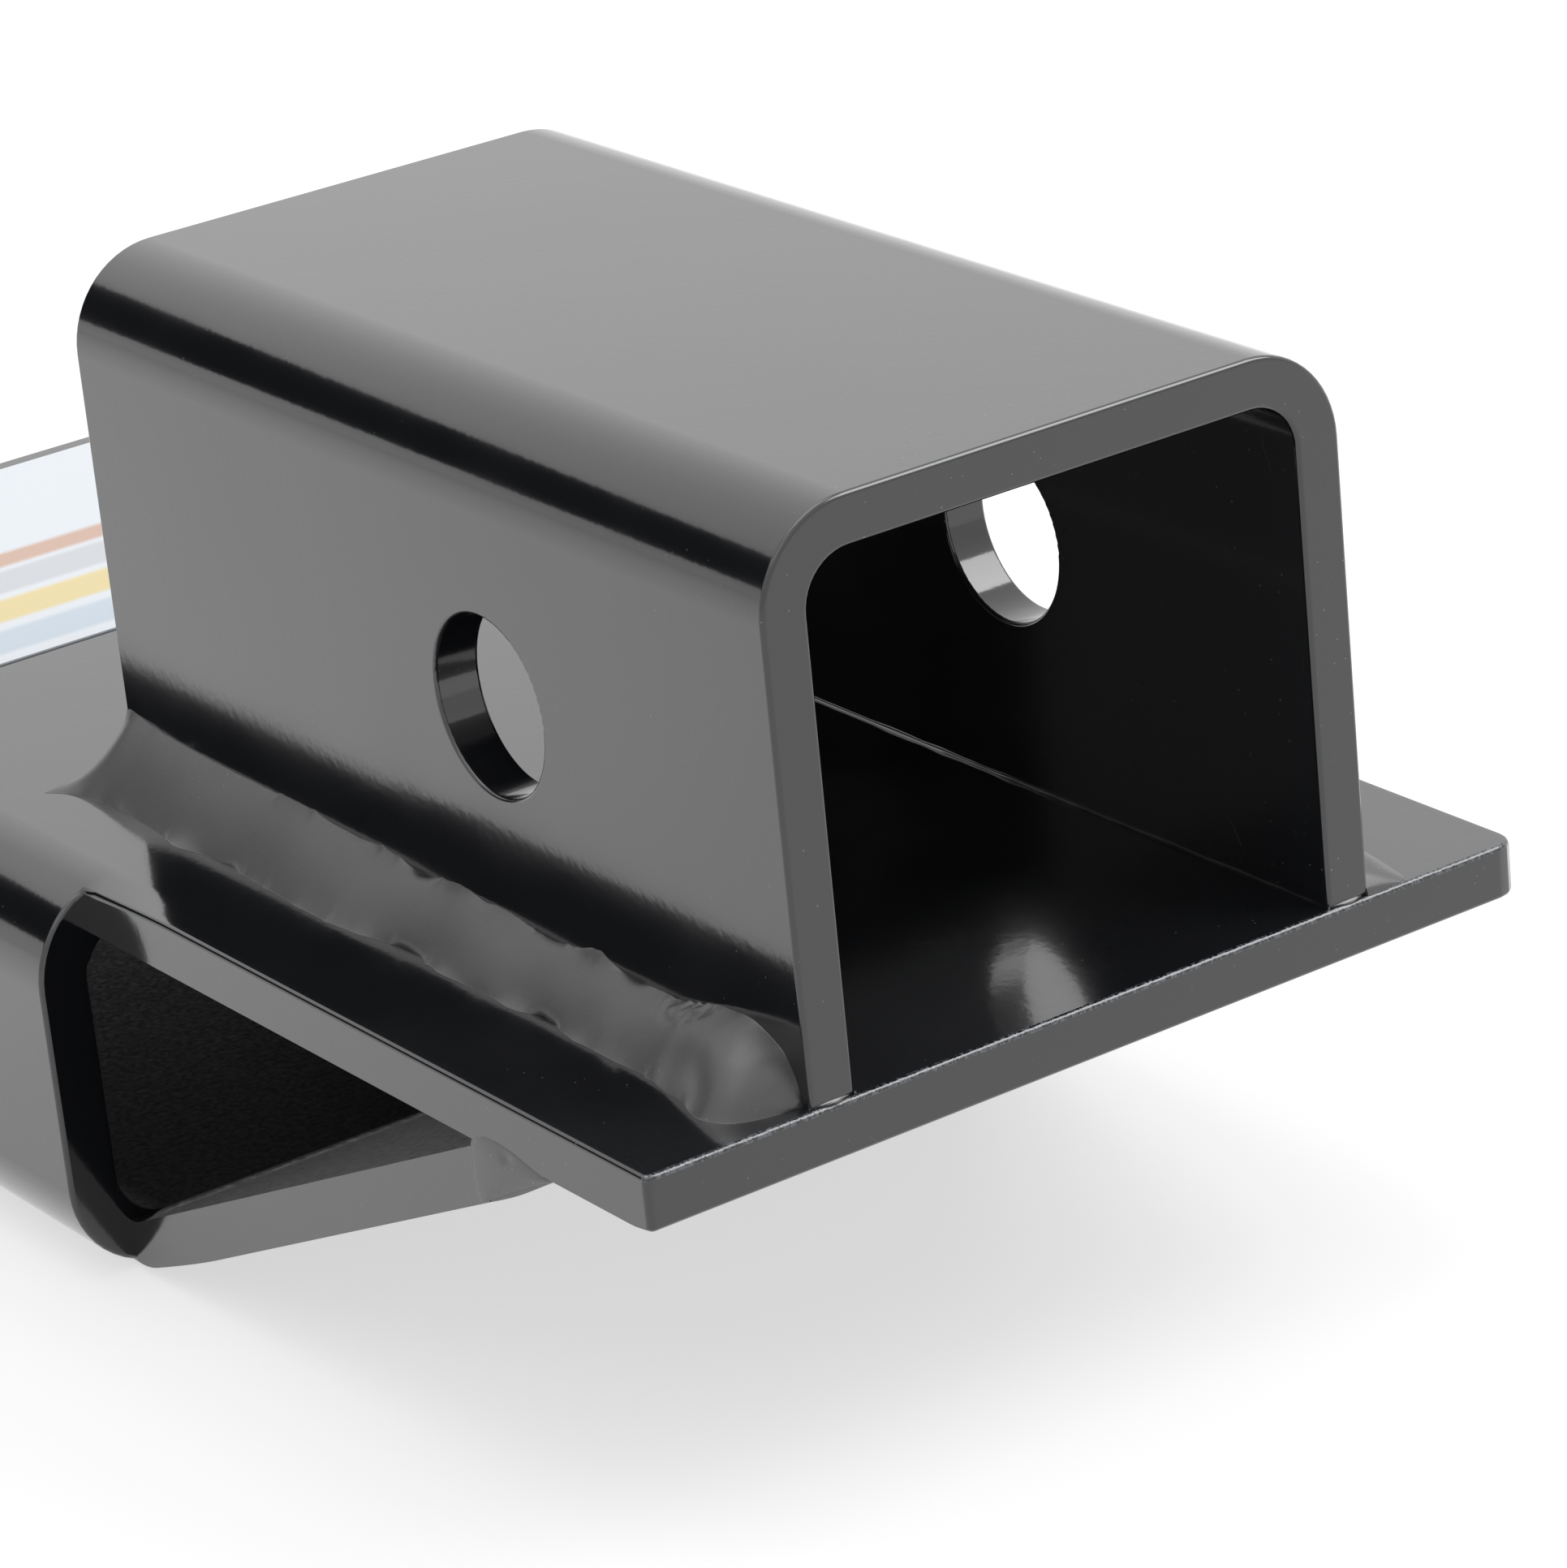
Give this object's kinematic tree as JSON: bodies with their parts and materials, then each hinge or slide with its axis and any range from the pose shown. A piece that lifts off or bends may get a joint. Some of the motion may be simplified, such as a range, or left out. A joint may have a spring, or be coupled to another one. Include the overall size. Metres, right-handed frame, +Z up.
{
  "type": "forklift hitch adapter",
  "caption": "Black steel hitch receiver welded on the tongue of a folded sleeve that slides over a fork, with a ramped nose and a cross pin hole.",
  "frame": {"origin": "On the surface that the sleeve stands on, under the middle of the part's bounding box", "axes": "+Z up, +Y along the receiver from its mouth to its back and on to the sleeve's open end, +X across, to the right when looking into the mouth"},
  "size_m": [0.115, 0.223, 0.099],
  "materials": {
    "black_paint": "gloss black powder coat with a fine orange peel",
    "weld_paint": "the same coat, duller over rippled weld metal",
    "label_film": "printed white film"
  },
  "bodies": {
    "root": {"receiver_channel": "black_paint", "fork_sleeve": "black_paint", "left_weld": "weld_paint", "right_weld": "weld_paint", "nose_weld": "weld_paint", "label": "label_film"}
  },
  "joints": []
}
